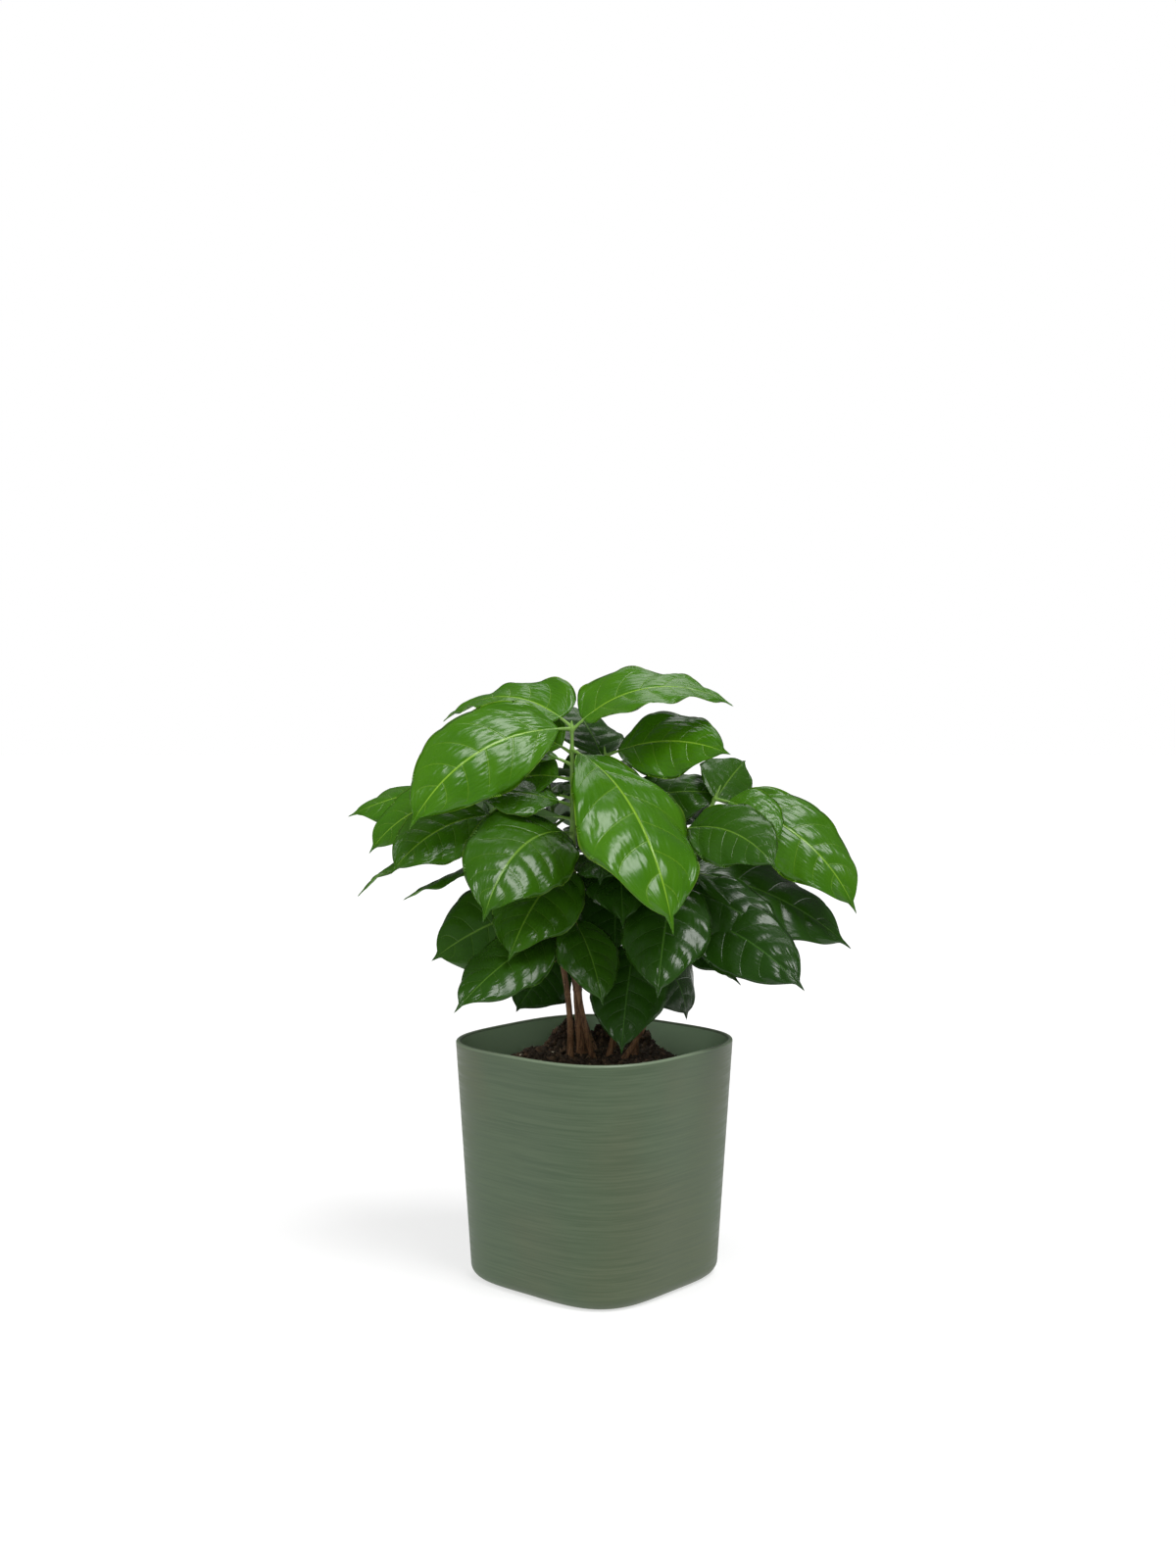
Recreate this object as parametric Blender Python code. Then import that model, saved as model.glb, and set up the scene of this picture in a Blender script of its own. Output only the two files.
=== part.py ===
"""Potted coffee plant: eight seedlings of Coffea arabica in one rounded-square cover pot.

Units are metres, +Z is up, and the origin is the middle of the pot's flat underside.
-Y is the front.  Each seedling has a woody stem, cut flat where it leaves the soil, and one
mass of foliage that grows on from the stem's tip: a green shoot with its leaves fused on.
Sizes in the tables of seedlings and leaves are millimetres and degrees.
"""
import math
import random
from collections import namedtuple

import bmesh
import bpy
from mathutils import Vector
from mathutils.bvhtree import BVHTree

MM = 0.001
GAP = 0.3 * MM                    # clear space between pieces that meet

# ---- pot: a rounded square that widens upwards ----
POT_HEIGHT = 135.5 * MM
RIM_HALF = 70 * MM                # half the width across the flats, at the rim
FOOT_HALF = 60 * MM               # the same at the foot, before its edge is rounded
RIM_SQUARENESS = 3.1              # exponent of the superellipse: 2 is round, 5 is nearly square
FOOT_SQUARENESS = 3.7
POT_TURN = math.radians(49)       # how far the flats are turned from the front
POT_SIDES = 40
WALL = 3 * MM
FLOOR = 4 * MM
FOOT_ROUND = 7 * MM
LIP_ROUND = 1.4 * MM
ROUND_STEPS = 4

# ---- soil: level where the stems stand, sloping to the wall, with knolls behind them ----
SOIL_LEVEL = 125 * MM
SOIL_AT_WALL = 112 * MM
SOIL_LEVEL_REACH = 36 * MM        # radius of the level part
SOIL_RINGS = 9
SOIL_GAP = 0.8 * MM               # clear space between the soil and the pot's wall
Knoll = namedtuple("Knoll", "x y radius height")
KNOLLS = (Knoll(-15, 40, 17, 15), Knoll(8, 44, 15, 14), Knoll(27, 38, 15, 12))

# ---- stems ----
STEM_SIDES = 8
STEM_RINGS = 5
STEM_RING_BIAS = 1.6              # rings lie closer together near the soil
FLARE_HEIGHT = 7 * MM             # the root flare fades out over this height
FLARE_SHARE = 0.45                # how much wider the foot is than the stem above it
SHOOT_SHARES = (0.0, 0.35, 0.7, 0.97)
SHOOT_TAPER = 0.45                # how much thinner the shoot is at its top
BUD = 4 * MM                      # the pointed bud above the shoot's top

# ---- leaves ----
LEAF_THICK = 0.0135               # greatest thickness, as a share of the leaf's length
LEAF_THICK_MIN = 1.3 * MM
PETIOLE = 9 * MM
PETIOLE_RADIUS = 1.0 * MM
PETIOLE_SHARES = (0.0, 0.8)
BLADE_STATIONS = (0.03, 0.14, 0.28, 0.43, 0.58, 0.72, 0.84, 0.93)
HALF_WIDTH_STEPS = (1.0, 0.5, 0.0, -0.5, -1.0)
PATH_STEPS = 48
BLADE_BODY = 0.93                 # share of the length over which the blade's rounded body lies
BLADE_FULLNESS = 0.72             # exponent: 1 is a lens, smaller is fuller towards the ends
BASE_CUP = 0.3                    # rise of the margins over the midrib at the blade's base
CUP_FULL = 0.5                    # where along the blade the leaf's own cup is reached
DRIP_START = 0.86                 # where the narrow drip tip begins, along the blade
DRIP_WIDTH = 0.13                 # its half width there, as a share of the blade's

# ---- leaves that fill the crown by rule ----
FILL_SEED = 50
FILL_CLEARANCE = 1 * MM
FILL_TRIES = 90
FILL_RISE = (-20, 5)
FILL_RISE_GAIN = 35               # extra rise at the top of the fill's range of heights
FILL_ARCH = (35, 80)
FILL_LONG = (42, 92)
FILL_SLENDER = (0.48, 0.62)       # width as a share of length
FILL_ROLL = (-30, 30)
RIM_CLEARANCE = 6 * MM
SPACE_CENTRE = Vector((0, 0, 215 * MM))
SPACE_REACH = Vector((106, 104, 100)) * MM

SLIVER = 0.012 * MM               # fusing's edges shorter than this are closed up

Leaf = namedtuple("Leaf", "z az rise arch long wide roll twist cup belly", defaults=(0, 0, -0.25, 0.46))
Fill = namedtuple("Fill", "count az_from az_to z_from z_to")
Seedling = namedtuple("Seedling", "name foot tip top thick leaves fill")

SEEDLINGS = (
    Seedling("centre", (-7, 0), (-12, 2, 222), (-13, 0, 313), (5.6, 3.6), (
        Leaf(313, 148, 34, 72, 89, 46, -30, belly=0.24, twist=12, cup=0.0),
        Leaf(312, -152, 0, 62, 111, 54, -55),
        Leaf(311, 0, 43, 76, 92, 54, 29, belly=0.32, twist=-10, cup=0.0),
        Leaf(300, -59, -13, 62, 139, 71, 0, belly=0.57),
        Leaf(298, 140, 25, 50, 50, 40, -50),
        Leaf(283, 160, 10, 45, 40, 38, -45),
        Leaf(268, -162, 20, 35, 54, 38, -30),
        Leaf(252, -123, 10, 78, 96, 61, -30, belly=0.46),
        Leaf(236, -121, -18, 40, 76, 52, -12),
    ), Fill(7, 0, 200, 228, 300)),
    Seedling("left", (-14, -7), (-38, 3, 234), (-62, 8, 283), (3.5, 2.8), (
        Leaf(281, 174, -4, 22, 76, 38, -30, belly=0.6),
        Leaf(273, -168, 3, 60, 74, 36, -50),
        Leaf(263, -144, 0, 50, 74, 42, -40),
        Leaf(268, 140, -30, 20, 40, 38, -45),
        Leaf(256, 180, -4, 46, 90, 32, 2),
        Leaf(242, -172, -14, 18, 64, 28),
    ), Fill(4, 80, 165, 240, 280)),
    Seedling("right", (23, 0), (50, 2, 232), (70, 3, 276), (3.7, 2.8), (
        Leaf(272, -18, -12, 56, 99, 48, 50),
        Leaf(266, 60, 34, 12, 46, 38, 45),
        Leaf(272, -32, -8, 50, 40, 32, 45),
    ), Fill(4, 30, 120, 238, 270)),
    Seedling("right_low", (16, -12), (45, -12, 205), (46, -17, 262), (3.5, 2.8), (
        Leaf(255, -44, 13, 60, 68, 43, 42),
        Leaf(228, -101, -22, 42, 80, 50),
        Leaf(224, -26, -12, 36, 66, 40, 42),
        Leaf(209, -40, -6, 36, 87, 46, 42),
        Leaf(233, 4, -8, 36, 103, 52, 46),
    ), Fill(2, 20, 80, 210, 230)),
    Seedling("front_left", (-1, -8), (-12, -14, 186), (-15, -18, 216), (3.3, 2.6), (
        Leaf(203, -138, -15, 25, 84, 44, -22),
        Leaf(215, 178, -10, 30, 76, 56, -60, belly=0.56),
        Leaf(210, -68, -25, 40, 60, 36),
    ), Fill(0, 0, 0, 0, 0)),
    Seedling("front", (8, -4), (20, -8, 180), (25, -10, 202), (3.2, 2.6), (
        Leaf(198, -101, -34, 34, 72, 44),
    ), Fill(1, -30, 30, 188, 200)),
    Seedling("back_left", (0, 16), (-14, 33, 176), (-28, 40, 290), (3.4, 2.8), (
        Leaf(182, -150, -36, 20, 41, 44, -30, belly=0.4),
        Leaf(286, 178, 20, 50, 62, 44, -45),
        Leaf(284, 14, 8, 50, 60, 46, 45),
        Leaf(222, 20, -5, 45, 62, 46, 35),
    ), Fill(15, 20, 340, 196, 284)),
    Seedling("back_right", (9, 10), (18, 30, 182), (6, 18, 298), (3.4, 2.8), (
        Leaf(296, -28, 20, 42, 72, 48, 50),
        Leaf(288, 124, 56, 30, 46, 50, 0),
        Leaf(194, 2, -30, 58, 60, 56, 38, belly=0.58),
        Leaf(262, -5, 28, 45, 62, 40, 45),
        Leaf(232, -92, -22, 44, 62, 44),
    ), Fill(15, -100, 220, 196, 288)),
)


def clear_scene():
    for old in list(bpy.data.objects):
        bpy.data.objects.remove(old, do_unlink=True)


def material(name, colour, roughness, metallic=0.0):
    made = bpy.data.materials.new(name)
    made.use_nodes = True
    shader = made.node_tree.nodes["Principled BSDF"]
    shader.inputs["Base Color"].default_value = (*colour, 1.0)
    shader.inputs["Roughness"].default_value = roughness
    shader.inputs["Metallic"].default_value = metallic
    made.diffuse_color = (*colour, 1.0)
    return made


def add_object(name, mesh, look):
    made = bpy.data.objects.new(name, mesh)
    bpy.context.scene.collection.objects.link(made)
    if not mesh.materials:
        mesh.materials.append(look)
    return made


def loft(name, rings, start=None, end=None):
    """A closed mesh through rings of equal count, closed by a point or a flat face at each end."""
    count = len(rings[0])
    points = [tuple(p) for ring in rings for p in ring]
    faces = []
    for row in range(len(rings) - 1):
        low = row * count
        for i in range(count):
            j = (i + 1) % count
            faces.append((low + i, low + j, low + count + j))
            faces.append((low + i, low + count + j, low + count + i))
    last = (len(rings) - 1) * count
    if start is None:
        faces.append(tuple(reversed(range(count))))
    else:
        points.append(tuple(start))
        faces += [((i + 1) % count, i, len(points) - 1) for i in range(count)]
    if end is None:
        faces.append(tuple(range(last, last + count)))
    else:
        points.append(tuple(end))
        faces += [(last + i, last + (i + 1) % count, len(points) - 1) for i in range(count)]
    mesh = bpy.data.meshes.new(name)
    mesh.from_pydata(points, [], faces)
    mesh.validate()
    return mesh


def smooth(mesh, sharp_degrees=40):
    mesh.shade_smooth()
    mesh.set_sharp_from_angle(angle=math.radians(sharp_degrees))


# ---- pot ----
def superellipse(half, squareness, angle):
    """Distance from the middle to the edge of a rounded square, at an angle from its flat."""
    spread = abs(math.cos(angle)) ** squareness + abs(math.sin(angle)) ** squareness
    return half / spread ** (1 / squareness)


def pot_ring(height, inset):
    """The pot's outer edge at a height, moved in by an inset: two outlines mixed by height."""
    share = height / POT_HEIGHT
    ring = []
    for i in range(POT_SIDES):
        angle = 2 * math.pi * i / POT_SIDES
        foot = superellipse(FOOT_HALF, FOOT_SQUARENESS, angle)
        rim = superellipse(RIM_HALF, RIM_SQUARENESS, angle)
        reach = foot + (rim - foot) * share - inset
        ring.append((reach * math.cos(angle), reach * math.sin(angle), height))
    return ring


def quarter(steps):
    return [math.pi / 2 * i / steps for i in range(steps + 1)]


def make_pot(look):
    rings = []
    for turn in quarter(ROUND_STEPS):
        rings.append(pot_ring(FOOT_ROUND * (1 - math.cos(turn)), FOOT_ROUND * (1 - math.sin(turn))))
    for turn in quarter(ROUND_STEPS // 2):
        rings.append(pot_ring(POT_HEIGHT - LIP_ROUND * (1 - math.sin(turn)),
                              LIP_ROUND * (1 - math.cos(turn))))
    for turn in quarter(ROUND_STEPS // 2):
        rings.append(pot_ring(POT_HEIGHT - LIP_ROUND * (1 - math.cos(turn)),
                              WALL - LIP_ROUND * (1 - math.sin(turn))))
    rings.append(pot_ring(FLOOR, WALL))
    mesh = loft("pot", rings)
    smooth(mesh)
    pot = add_object("pot", mesh, look)
    pot.rotation_euler.z = POT_TURN
    return pot


# ---- soil ----
def soil_height(x, y):
    """Height of the soil's surface over a point, before any ring's own place on the wall."""
    from_middle = math.hypot(x, y)
    fall = (from_middle - SOIL_LEVEL_REACH) / (RIM_HALF - SOIL_LEVEL_REACH)
    fall = min(max(fall, 0.0), 1.0)
    height = SOIL_LEVEL + (SOIL_AT_WALL - SOIL_LEVEL) * fall * fall * (3 - 2 * fall)
    for knoll in KNOLLS:
        near = math.hypot(x - knoll.x * MM, y - knoll.y * MM) / (knoll.radius * MM)
        if near < 1:
            height += knoll.height * MM * (1 - near * near) ** 2
    return height


def make_soil(look):
    inset = WALL + SOIL_GAP
    top = pot_ring(SOIL_AT_WALL, inset)
    rings = [pot_ring(FLOOR + GAP, inset), top]
    turn_cos, turn_sin = math.cos(POT_TURN), math.sin(POT_TURN)
    for step in range(SOIL_RINGS - 1, 0, -1):
        share = step / SOIL_RINGS
        ring = []
        for x, y, _ in top:
            x, y = x * share, y * share
            across = x * turn_cos - y * turn_sin
            along = x * turn_sin + y * turn_cos
            ring.append((x, y, soil_height(across, along)))
        rings.append(ring)
    mesh = loft("soil", rings, end=(0, 0, soil_height(0, 0)))
    smooth(mesh)
    soil = add_object("soil", mesh, look)
    soil.rotation_euler.z = POT_TURN
    return soil


# ---- stems and shoots ----
def stem_line(seedling, height):
    """The middle of a seedling's stem or shoot at a height: it bows outwards as it rises."""
    foot = Vector((seedling.foot[0] * MM, seedling.foot[1] * MM, SOIL_LEVEL))
    tip = Vector(seedling.tip) * MM
    top = Vector(seedling.top) * MM
    if height > tip.z:
        return tip.lerp(top, (height - tip.z) / (top.z - tip.z))
    share = (height - foot.z) / (tip.z - foot.z)
    lean = (top - tip) * ((tip.z - foot.z) / (top.z - tip.z))
    start = 2 * (tip - foot) - lean
    mixed = foot + start * (share - share * share / 2) + lean * (share * share / 2)
    mixed.z = height
    return mixed


def level_ring(middle, radius, sides=STEM_SIDES):
    turns = [2 * math.pi * i / sides for i in range(sides)]
    return [middle + Vector((radius * math.cos(a), radius * math.sin(a), 0)) for a in turns]


def stem_radius(seedling, height):
    """Half the stem's thickness: an even taper, with the root flare at the soil."""
    foot_thick, tip_thick = (size * MM for size in seedling.thick)
    share = (height - SOIL_LEVEL) / (seedling.tip[2] * MM - SOIL_LEVEL)
    flare = 1 + FLARE_SHARE * math.exp(-(height - SOIL_LEVEL) / (FLARE_HEIGHT / 2))
    return (foot_thick + (tip_thick - foot_thick) * share) / 2 * flare


def stem_mesh(seedling):
    low = SOIL_LEVEL + GAP
    high = seedling.tip[2] * MM - GAP
    heights = [low + (high - low) * (i / STEM_RINGS) ** STEM_RING_BIAS for i in range(STEM_RINGS + 1)]
    rings = [level_ring(stem_line(seedling, z), stem_radius(seedling, z)) for z in heights]
    return loft("stem_" + seedling.name, rings)


def shoot_mesh(seedling):
    low = seedling.tip[2] * MM
    high = seedling.top[2] * MM
    wide = seedling.thick[1] * MM / 2
    rings = []
    for share in SHOOT_SHARES:
        z = low + (high - low) * share
        rings.append(level_ring(stem_line(seedling, z), wide * (1 - SHOOT_TAPER * share)))
    bud = stem_line(seedling, high) + Vector((0, 0, BUD))
    return loft("shoot", rings, end=bud)


# ---- leaves ----
def blade_share(s, belly):
    """Half width of the blade at s along it, as a share of its greatest, which is at the belly."""
    along = min(s / BLADE_BODY, 1.0)
    bent = math.log(0.5) / math.log(belly)
    body = math.sin(math.pi * along ** bent) ** BLADE_FULLNESS if 0 < along < 1 else 0.0
    drip = DRIP_WIDTH * (1 - s) / (1 - DRIP_START) if s > DRIP_START else 0.0
    return max(body, drip)


def cup_at(s, cup):
    """How the halves bend up from the midrib: a trough at the base, a roof past the middle."""
    return BASE_CUP + (cup - BASE_CUP) * min(s / CUP_FULL, 1.0)


def leaf_path(leaf, root):
    """Points, directions and sideways vectors along the petiole and the midrib.

    The pitch falls evenly from rise to rise - arch along the blade.  The blade is rolled about
    its midrib by roll at its base and by roll + twist at its tip.
    """
    rise, arch, az = (math.radians(v) for v in (leaf.rise, leaf.arch, leaf.az))
    roll, twist = math.radians(leaf.roll), math.radians(leaf.twist)
    step = leaf.long * MM / PATH_STEPS

    def direction(s):
        pitch, turned = rise - arch * s, roll + twist * s
        side = Vector((-math.sin(az), math.cos(az), 0))
        level = math.cos(pitch)
        tangent = Vector((math.cos(az) * level, math.sin(az) * level, math.sin(pitch)))
        return tangent, side * math.cos(turned) + tangent.cross(side) * math.sin(turned)

    tangent, side = direction(0.0)
    point = root + tangent * PETIOLE
    path = [(point.copy(), tangent, side)]
    for i in range(PATH_STEPS):
        tangent, side = direction((i + 0.5) / PATH_STEPS)
        point = point + tangent * step
        path.append((point.copy(), *direction((i + 1) / PATH_STEPS)))
    return path


def leaf_mesh(leaf, root, clearance=0.0, petiole=True):
    """One closed body: a round petiole that widens into a blade, thick at its middle."""
    path = leaf_path(leaf, root)
    thick = max(LEAF_THICK_MIN, LEAF_THICK * leaf.long * MM) / 2 + clearance
    half = leaf.wide * MM / 2
    count = len(HALF_WIDTH_STEPS)
    rings = []
    blade_start, tangent, side = path[0]
    up = tangent.cross(side)
    around = [math.pi * i / (count - 1) for i in range(2 * count - 2)]
    for along in PETIOLE_SHARES if petiole else ():
        middle = root.lerp(blade_start, along)
        wide = PETIOLE_RADIUS + clearance
        rings.append([middle + side * (wide * math.cos(a)) + up * (wide * math.sin(a)) for a in around])
    for s in BLADE_STATIONS:
        place = s * PATH_STEPS
        low = int(place)
        middle = path[low][0].lerp(path[low + 1][0], place - low)
        tangent, side = path[round(place)][1:]
        up = tangent.cross(side)
        reach = half * blade_share(s, leaf.belly) + clearance
        upper, lower = [], []
        for t in HALF_WIDTH_STEPS:
            across = reach * t
            lift = cup_at(s, leaf.cup) * across * across / half
            edge = thick * (1 - t * t)
            base = middle + side * across + up * lift
            upper.append(base + up * edge)
            lower.append(base - up * edge)
        rings.append(upper + lower[-2:0:-1])
    tip = path[-1][0] + path[-1][1] * clearance
    return loft("leaf", rings, end=tip)


def search_tree(mesh):
    """A search tree of a mesh, whose block is then dropped."""
    points = [v.co.copy() for v in mesh.vertices]
    faces = [tuple(p.vertices) for p in mesh.polygons]
    bpy.data.meshes.remove(mesh)
    return BVHTree.FromPolygons(points, faces)


def leaf_trees(leaf, root, clearance=0.0):
    """Search trees of the whole leaf and of its blade alone."""
    whole = search_tree(leaf_mesh(leaf, root, clearance))
    return whole, search_tree(leaf_mesh(leaf, root, clearance, petiole=False))


def in_space(leaf, root):
    """True where the leaf stays in the crown's space and above the pot's rim."""
    for point, _, _ in leaf_path(leaf, root):
        away = point - SPACE_CENTRE
        scaled = Vector(away[i] / SPACE_REACH[i] for i in range(3))
        if scaled.length > 1 or point.z < POT_HEIGHT + RIM_CLEARANCE:
            return False
    return True


def is_clear(leaf, root, owner, taken):
    """True where the leaf misses what is taken: its own seedling's blades may meet its petiole."""
    whole, blade = leaf_trees(leaf, root, FILL_CLEARANCE)
    for name, old_whole, old_blade in taken:
        hit = blade.overlap(old_blade) if name == owner else whole.overlap(old_whole)
        if hit:
            return False
    return True


def fill_leaves(seedling, taken, rng):
    """Leaves that a seeded rule adds, each clear of every leaf, shoot and stem already there."""
    fill = seedling.fill
    found = []
    for number in range(fill.count):
        for _ in range(FILL_TRIES):
            share = (number + rng.random()) / fill.count
            long = rng.uniform(*FILL_LONG)
            leaf = Leaf(z=fill.z_from + (fill.z_to - fill.z_from) * share,
                        az=fill.az_from + (fill.az_to - fill.az_from) * rng.random(),
                        rise=rng.uniform(*FILL_RISE) + FILL_RISE_GAIN * share,
                        arch=rng.uniform(*FILL_ARCH), long=long,
                        wide=long * rng.uniform(*FILL_SLENDER), roll=rng.uniform(*FILL_ROLL))
            root = stem_line(seedling, leaf.z * MM)
            if in_space(leaf, root) and is_clear(leaf, root, seedling.name, taken):
                found.append(leaf)
                taken.append((seedling.name, *leaf_trees(leaf, root)))
                break
    return found


def plan_leaves():
    """Every seedling with its leaves: those of its table, then those that the rule adds."""
    taken = []
    for seedling in SEEDLINGS:
        stem = search_tree(stem_mesh(seedling))
        taken.append((seedling.name, stem, stem))
        shoot = search_tree(shoot_mesh(seedling))
        taken.append((seedling.name, shoot, stem))
        for leaf in seedling.leaves:
            taken.append((seedling.name, *leaf_trees(leaf, stem_line(seedling, leaf.z * MM))))
    plan = []
    for number, seedling in enumerate(SEEDLINGS):
        added = fill_leaves(seedling, taken, random.Random(FILL_SEED + number))
        plan.append((seedling, list(seedling.leaves) + added))
    return plan


def clean_body(mesh):
    """Drops the scraps, slivers and sealed hollows that fusing can leave."""
    work = bmesh.new()
    work.from_mesh(mesh)
    bmesh.ops.dissolve_degenerate(work, dist=SLIVER, edges=work.edges)
    bmesh.ops.triangulate(work, faces=work.faces)
    left = set(work.verts)
    bodies = []
    while left:
        front = [left.pop()]
        body = list(front)
        while front:
            vert = front.pop()
            for edge in vert.link_edges:
                other = edge.other_vert(vert)
                if other in left:
                    left.remove(other)
                    front.append(other)
                    body.append(other)
        bodies.append(body)
    bodies.sort(key=len)
    for body in bodies[:-1]:
        bmesh.ops.delete(work, geom=body, context="VERTS")
    work.to_mesh(mesh)
    work.free()


def make_foliage(seedling, leaves, look):
    """Fuses the shoot and its leaves into one closed body."""
    parts = bpy.data.collections.new("parts_" + seedling.name)
    bpy.context.scene.collection.children.link(parts)
    for leaf in leaves:
        mesh = leaf_mesh(leaf, stem_line(seedling, leaf.z * MM))
        parts.objects.link(bpy.data.objects.new("leaf", mesh))
    body = add_object("foliage_" + seedling.name, shoot_mesh(seedling), look)
    fuse = body.modifiers.new("fuse", "BOOLEAN")
    fuse.operation = "UNION"
    fuse.operand_type = "COLLECTION"
    fuse.solver = "MANIFOLD"
    fuse.collection = parts
    bpy.context.view_layer.update()
    fused = bpy.data.meshes.new_from_object(body.evaluated_get(bpy.context.evaluated_depsgraph_get()))
    body.modifiers.clear()
    body.data = fused
    for piece in list(parts.objects):
        bpy.data.objects.remove(piece, do_unlink=True)
    bpy.data.collections.remove(parts)
    clean_body(fused)
    smooth(fused, 50)
    return body


def main():
    clear_scene()
    make_pot(material("sage_plastic", (0.13, 0.19, 0.125), 0.55))
    make_soil(material("potting_soil", (0.03, 0.018, 0.012), 0.95))
    bark = material("young_bark", (0.12, 0.055, 0.03), 0.8)
    green = material("coffee_leaf", (0.03, 0.14, 0.015), 0.3)
    for seedling, leaves in plan_leaves():
        mesh = stem_mesh(seedling)
        smooth(mesh)
        add_object("stem_" + seedling.name, mesh, bark)
        make_foliage(seedling, leaves, green)


main()
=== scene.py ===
# %% [markdown]
# A potted coffee plant, dressed for a close look.
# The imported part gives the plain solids: a pot, its soil, eight woody stems and eight masses of
# leaves.  Each cell below makes the fine surface of one of them, in metres, in the same place.
# The shapes are numpy formulas of two parameters, so a whole leaf or a whole pot is one array.

# %% The frame that everything is built around
import math
import random
from collections import namedtuple

import bpy
import numpy as np
from mathutils.bvhtree import BVHTree
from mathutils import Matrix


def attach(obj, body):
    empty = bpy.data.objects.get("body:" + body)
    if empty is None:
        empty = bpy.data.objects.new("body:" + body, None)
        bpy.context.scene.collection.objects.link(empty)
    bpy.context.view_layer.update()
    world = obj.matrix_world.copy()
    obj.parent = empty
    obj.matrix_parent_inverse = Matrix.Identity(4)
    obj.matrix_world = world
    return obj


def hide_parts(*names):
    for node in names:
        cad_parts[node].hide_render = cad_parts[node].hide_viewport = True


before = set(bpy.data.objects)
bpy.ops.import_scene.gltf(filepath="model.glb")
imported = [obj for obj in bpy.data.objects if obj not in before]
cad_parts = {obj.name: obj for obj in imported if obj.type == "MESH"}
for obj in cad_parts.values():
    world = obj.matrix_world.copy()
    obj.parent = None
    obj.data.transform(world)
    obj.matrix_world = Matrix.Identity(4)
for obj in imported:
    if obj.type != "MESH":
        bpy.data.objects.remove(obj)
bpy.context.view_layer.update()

MM = 0.001
print("nodes:", ", ".join(sorted(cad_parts)))


# %% [markdown]
# A finish is a small graph of shader nodes.  Writing it as arithmetic keeps it readable: Value
# wraps one socket, and each operator on it adds the Math node that does the sum.  Every other
# node comes from one method that takes its type, its settings and what feeds it.

# %% Shader arithmetic
class Value:
    """One output socket that can be added, multiplied and so on."""

    def __init__(self, finish, socket):
        self.finish = finish
        self.socket = socket

    def __add__(self, other):
        return self.finish.math("ADD", self, other)

    def __sub__(self, other):
        return self.finish.math("SUBTRACT", self, other)

    def __rsub__(self, other):
        return self.finish.math("SUBTRACT", other, self)

    def __mul__(self, other):
        return self.finish.math("MULTIPLY", self, other)

    def __abs__(self):
        return self.finish.math("ABSOLUTE", self)

    __radd__ = __add__
    __rmul__ = __mul__


class Finish:
    """A material whose Principled shader is fed by nodes."""

    def __init__(self, name):
        self.material = bpy.data.materials.new(name)
        self.material.use_nodes = True
        self.tree = self.material.node_tree
        self.shader = self.tree.nodes["Principled BSDF"]

    def feed(self, socket, value):
        """Links a Value to the socket, or sets a plain number or colour on it."""
        if isinstance(value, Value):
            self.tree.links.new(value.socket, socket)
        else:
            socket.default_value = value

    def node(self, kind, settings=None, inputs=None, out=0):
        """Any node: its settings first, then what feeds its sockets.  Returns one output."""
        made = self.tree.nodes.new("ShaderNode" + kind)
        for setting, value in (settings or {}).items():
            setattr(made, setting, value)
        for key, value in (inputs or {}).items():
            self.feed(made.inputs[key], value)
        return Value(self, made.outputs[out])

    def math(self, operation, *values):
        return self.node("Math", {"operation": operation}, dict(enumerate(values)))

    def mix(self, share, first, second):
        """From the first colour to the second as share goes from 0 to 1."""
        return self.node("Mix", {"data_type": "RGBA"}, {0: share, 6: first, 7: second}, out=2)

    def ramp(self, value, low, high, at_low=0.0, at_high=1.0):
        """A smooth step: at_low below low, at_high above high."""
        return self.node("MapRange", {"interpolation_type": "SMOOTHSTEP"},
                         {0: value, 1: low, 2: high, 3: at_low, 4: at_high})

    def place(self, stretch=(1, 1, 1)):
        """Object coordinates, in metres, each axis multiplied by a stretch."""
        where = self.node("TexCoord", out=3)
        return self.node("Mapping", {}, {"Vector": where, "Scale": stretch})

    def noise(self, where, scale, detail=3.0, roughness=0.5):
        """Cloudy values near 0.5, with a cloud every 1 / scale along where."""
        return self.node("TexNoise", {}, {"Vector": where, "Scale": scale, "Detail": detail,
                                          "Roughness": roughness})

    def attribute(self, name):
        """The value that a piece's mesh carries at each point."""
        return self.node("Attribute", {"attribute_name": name}, out=2)

    def set(self, **sockets):
        """Feeds the shader: Base_Color=..., Roughness=... and so on."""
        for name, value in sockets.items():
            self.feed(self.shader.inputs[name.replace("_", " ")], value)

    def bump(self, height, distance, strength=1.0):
        made = self.node("Bump", {}, {"Height": height, "Distance": distance, "Strength": strength})
        self.set(Normal=made)


# %% [markdown]
# The camera stands at table height, a metre in front of the pot, and looks down a little.  The
# picture is 1200 by 1600, and a lens of 41.4 mm on a 36 mm sensor gives the same perspective: the
# pot's rim is a shallow ellipse and its foot a deeper one.

# %% Camera
FOCAL_PX = 1840
PICTURE_HEIGHT_PX = 1600
SENSOR = 36.0
CAMERA_PLACE = (-3.8 * MM, -1022.1 * MM, 330.1 * MM)
CAMERA_PITCH = math.radians(2.77)

lens = bpy.data.cameras.new("camera")
lens.sensor_width = SENSOR
lens.lens = FOCAL_PX / PICTURE_HEIGHT_PX * SENSOR
camera = bpy.data.objects.new("camera", lens)
camera.location = CAMERA_PLACE
camera.rotation_euler = (math.pi / 2 - CAMERA_PITCH, 0, 0)
bpy.context.scene.collection.objects.link(camera)
bpy.context.scene.camera = camera
print(f"lens {lens.lens:.1f} mm")


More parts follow.
